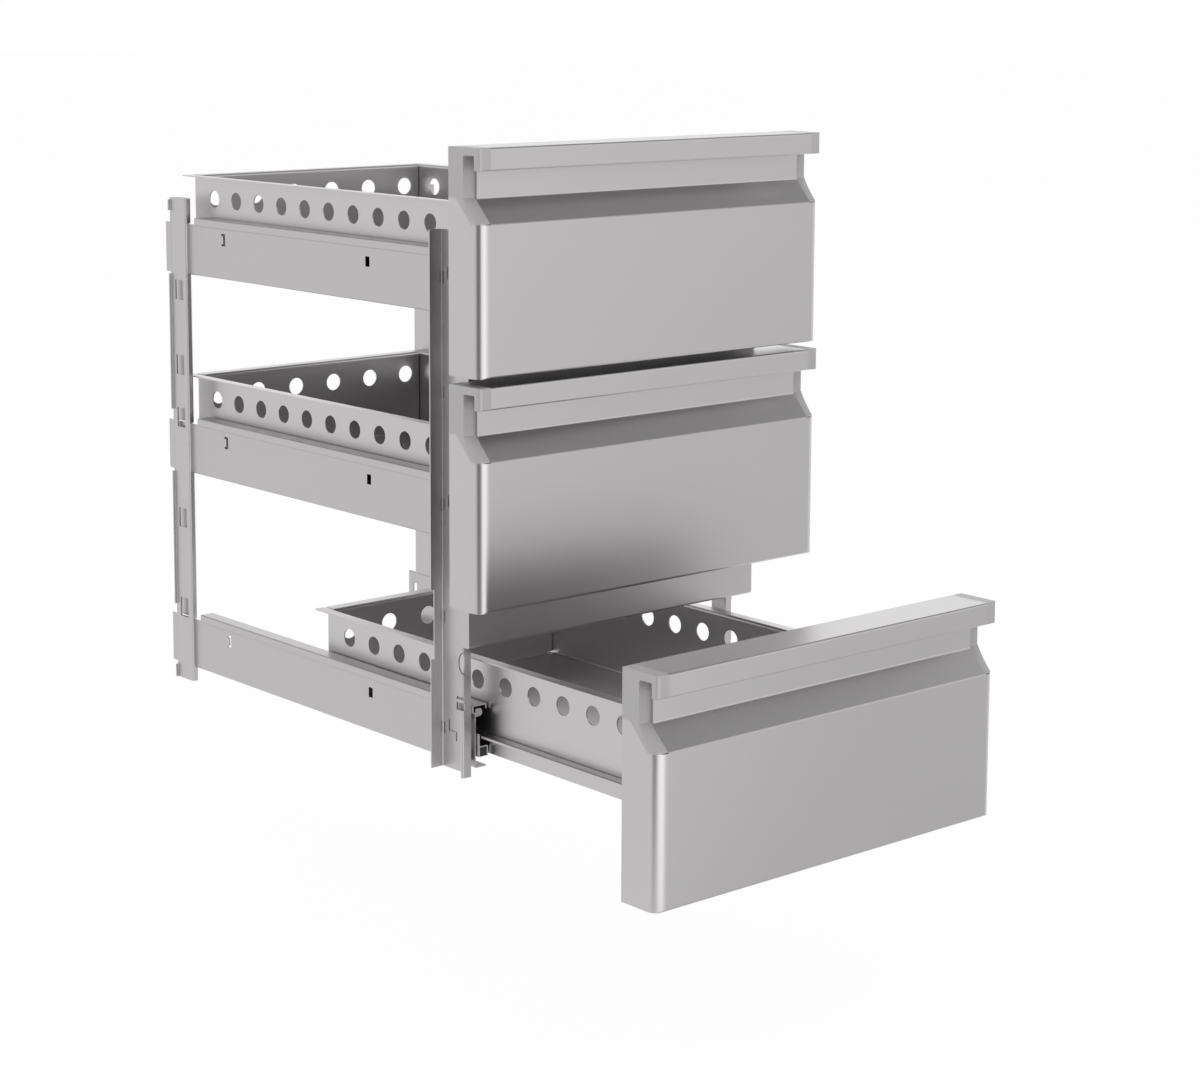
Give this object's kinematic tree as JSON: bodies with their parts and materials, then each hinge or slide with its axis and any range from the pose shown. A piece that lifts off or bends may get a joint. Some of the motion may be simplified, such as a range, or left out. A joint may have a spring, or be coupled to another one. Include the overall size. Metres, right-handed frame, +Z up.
{
  "type": "refrigerated counter drawer unit",
  "caption": "Drawer unit for a refrigerated counter: insulated fronts with full-width finger lips, perforated pan trays on two-stage slides, open sheet-steel frame.",
  "frame": {"origin": "centre of the front face of the lower cross plate", "axes": "+X to the right across the fronts as seen by the user, +Y from the fronts to the back, +Z up"},
  "size_m": [0.45, 0.881, 0.664],
  "materials": {
    "brushed_skin": "fine horizontal brushing",
    "foam": "rigid closed-cell foam",
    "inner_sheet": "dull rolled sheet",
    "end_cap": "satin moulding",
    "seal_rubber": "soft matte",
    "tray_steel": "rolled sheet, slightly dull",
    "screw_steel": "plain",
    "slide_steel": "satin",
    "glide_plastic": "smooth",
    "frame_steel": "rolled sheet, dull"
  },
  "bodies": {
    "frame": {"rail_left_top": "frame_steel", "rail_left_middle": "frame_steel", "rail_left_bottom": "frame_steel", "rail_right_top": "frame_steel", "rail_right_middle": "frame_steel", "rail_right_bottom": "frame_steel", "post_front_left": "frame_steel", "post_front_right": "frame_steel", "post_rear_left": "frame_steel", "post_rear_right": "frame_steel", "cross_plate_upper": "frame_steel", "cross_plate_lower": "frame_steel"},
    "slides_top": {"slide_left_top": "slide_steel", "slide_right_top": "slide_steel", "glides_left_top": "glide_plastic", "glides_right_top": "glide_plastic"},
    "drawer_top": {"front_skin_top": "brushed_skin", "front_core_top": "foam", "front_back_top": "inner_sheet", "end_cap_left_top": "end_cap", "end_cap_right_top": "end_cap", "seal_top": "seal_rubber", "tray_top": "tray_steel", "tray_screws_top": "screw_steel", "runner_left_top": "slide_steel", "runner_right_top": "slide_steel"},
    "slides_middle": {"slide_left_middle": "slide_steel", "slide_right_middle": "slide_steel", "glides_left_middle": "glide_plastic", "glides_right_middle": "glide_plastic"},
    "drawer_middle": {"front_skin_middle": "brushed_skin", "front_core_middle": "foam", "front_back_middle": "inner_sheet", "end_cap_left_middle": "end_cap", "end_cap_right_middle": "end_cap", "seal_middle": "seal_rubber", "tray_middle": "tray_steel", "tray_screws_middle": "screw_steel", "runner_left_middle": "slide_steel", "runner_right_middle": "slide_steel"},
    "slides_bottom": {"slide_left_bottom": "slide_steel", "slide_right_bottom": "slide_steel", "glides_left_bottom": "glide_plastic", "glides_right_bottom": "glide_plastic"},
    "drawer_bottom": {"front_skin_bottom": "brushed_skin", "front_core_bottom": "foam", "front_back_bottom": "inner_sheet", "end_cap_left_bottom": "end_cap", "end_cap_right_bottom": "end_cap", "seal_bottom": "seal_rubber", "tray_bottom": "tray_steel", "tray_screws_bottom": "screw_steel", "runner_left_bottom": "slide_steel", "runner_right_bottom": "slide_steel"}
  },
  "joints": [
    {"name": "slides_top_out", "type": "slide", "parent": "frame", "child": "slides_top", "axis": [0, -1, 0], "range_m": [0, 0.248]},
    {"name": "drawer_top_out", "type": "slide", "parent": "slides_top", "child": "drawer_top", "axis": [0, -1, 0], "range_m": [0, 0.248]},
    {"name": "slides_middle_out", "type": "slide", "parent": "frame", "child": "slides_middle", "axis": [0, -1, 0], "range_m": [0, 0.248]},
    {"name": "drawer_middle_out", "type": "slide", "parent": "slides_middle", "child": "drawer_middle", "axis": [0, -1, 0], "range_m": [0, 0.248]},
    {"name": "slides_bottom_out", "type": "slide", "parent": "frame", "child": "slides_bottom", "axis": [0, -1, 0], "range_m": [0, 0.248]},
    {"name": "drawer_bottom_out", "type": "slide", "parent": "slides_bottom", "child": "drawer_bottom", "axis": [0, -1, 0], "range_m": [-0.248, 0]}
  ]
}
